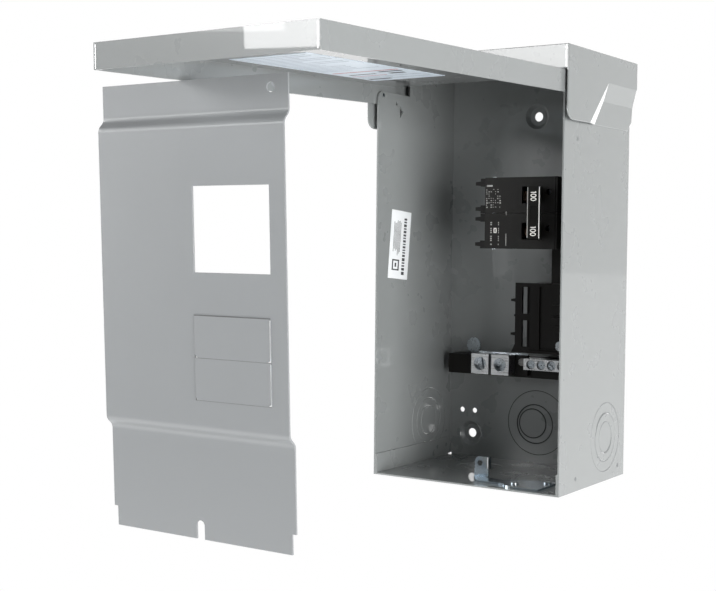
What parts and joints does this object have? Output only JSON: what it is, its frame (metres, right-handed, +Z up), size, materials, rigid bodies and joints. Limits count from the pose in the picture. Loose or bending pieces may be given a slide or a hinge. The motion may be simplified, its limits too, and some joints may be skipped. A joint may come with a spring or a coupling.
{
  "type": "residential load center",
  "caption": "Small outdoor load center: steel box with rain hood and raised hinged cover, dead front taken off, main breaker, branch base and neutral bar.",
  "frame": {"origin": "centre of the upper mounting hole, on the wall plane", "axes": "+Y into the wall, +Z up, +X to the right as seen from the front"},
  "size_m": [0.2169, 0.3972, 0.313],
  "materials": {
    "enclosure_paint": "semi-gloss light grey enamel",
    "cover_paint": "semi-gloss light grey enamel",
    "deadfront_paint": "semi-gloss light grey enamel",
    "label": "printed label, matt",
    "zinc": "zinc plated",
    "dark_zinc": "dark plated",
    "thermoset": "moulded black thermoset",
    "base_plastic": "moulded black plastic",
    "aluminium": "tin-plated, satin",
    "copper": "copper, satin",
    "steel": "bare steel",
    "bimetal": "satin"
  },
  "bodies": {
    "root": {"enclosure_wrapper": "enclosure_paint", "bottom_end_wall": "enclosure_paint", "rain_hood": "enclosure_paint", "knockouts_left": "enclosure_paint", "knockouts_right": "enclosure_paint", "knockouts_back": "enclosure_paint", "knockouts_bottom": "enclosure_paint", "hole_plug": "zinc", "wall_label": "label", "cover_pivot_rivets": "zinc", "dead_front_bracket": "zinc", "bracket_rivets": "zinc", "bus_base": "base_plastic", "base_screws": "zinc", "bus_bar_line_1": "copper", "bus_bar_line_2": "copper", "neutral_insulator": "base_plastic", "neutral_link": "zinc", "neutral_lugs": "aluminium", "neutral_lug_screws": "zinc", "neutral_bar": "aluminium", "neutral_bar_screws": "zinc", "neutral_fixing_screws": "dark_zinc", "breaker_case_upper": "thermoset", "breaker_case_lower": "thermoset", "breaker_lid_upper": "thermoset", "breaker_lid_lower": "thermoset", "breaker_rivets": "zinc", "line_lugs": "aluminium", "line_lug_screws": "zinc", "fixed_contacts": "copper", "arc_chutes": "steel", "bimetal_trips": "bimetal", "trip_magnets": "steel", "load_jaws": "copper", "load_screws": "zinc", "handle_pins": "zinc"},
    "cover": {"cover_pan": "cover_paint", "cover_label": "label"},
    "dead_front": {"dead_front_plate": "deadfront_paint", "twistout_upper": "deadfront_paint", "twistout_lower": "deadfront_paint"},
    "breaker_handle": {"breaker_toggles": "thermoset", "handle_tie_bar": "thermoset"},
    "contact_arms": {"contact_arms": "copper"}
  },
  "joints": [
    {"name": "cover_hinge", "type": "hinge", "parent": "root", "child": "cover", "pos_m": [0, -0.1076, 0.0104], "axis": [1, 0, 0], "range_deg": [0, 88.5]},
    {"name": "dead_front_slide", "type": "slide", "parent": "root", "child": "dead_front", "axis": [-0.4628, 0, -0.8865], "range_m": [0, 0.475]},
    {"name": "handle_hinge", "type": "hinge", "parent": "root", "child": "breaker_handle", "pos_m": [0.0395, -0.077, -0.076], "axis": [0, 0, 1], "range_deg": [-25, 0]},
    {"name": "contact_arm_hinge", "type": "hinge", "parent": "root", "child": "contact_arms", "pos_m": [0.034, -0.063, -0.076], "axis": [0, 0, 1], "range_deg": [0, 15]}
  ],
  "couplings": [
    {"joint": "dead_front_slide", "follows": "cover_hinge", "m_per_rad": 0.30684},
    {"joint": "contact_arm_hinge", "follows": "handle_hinge", "ratio": -0.6}
  ]
}
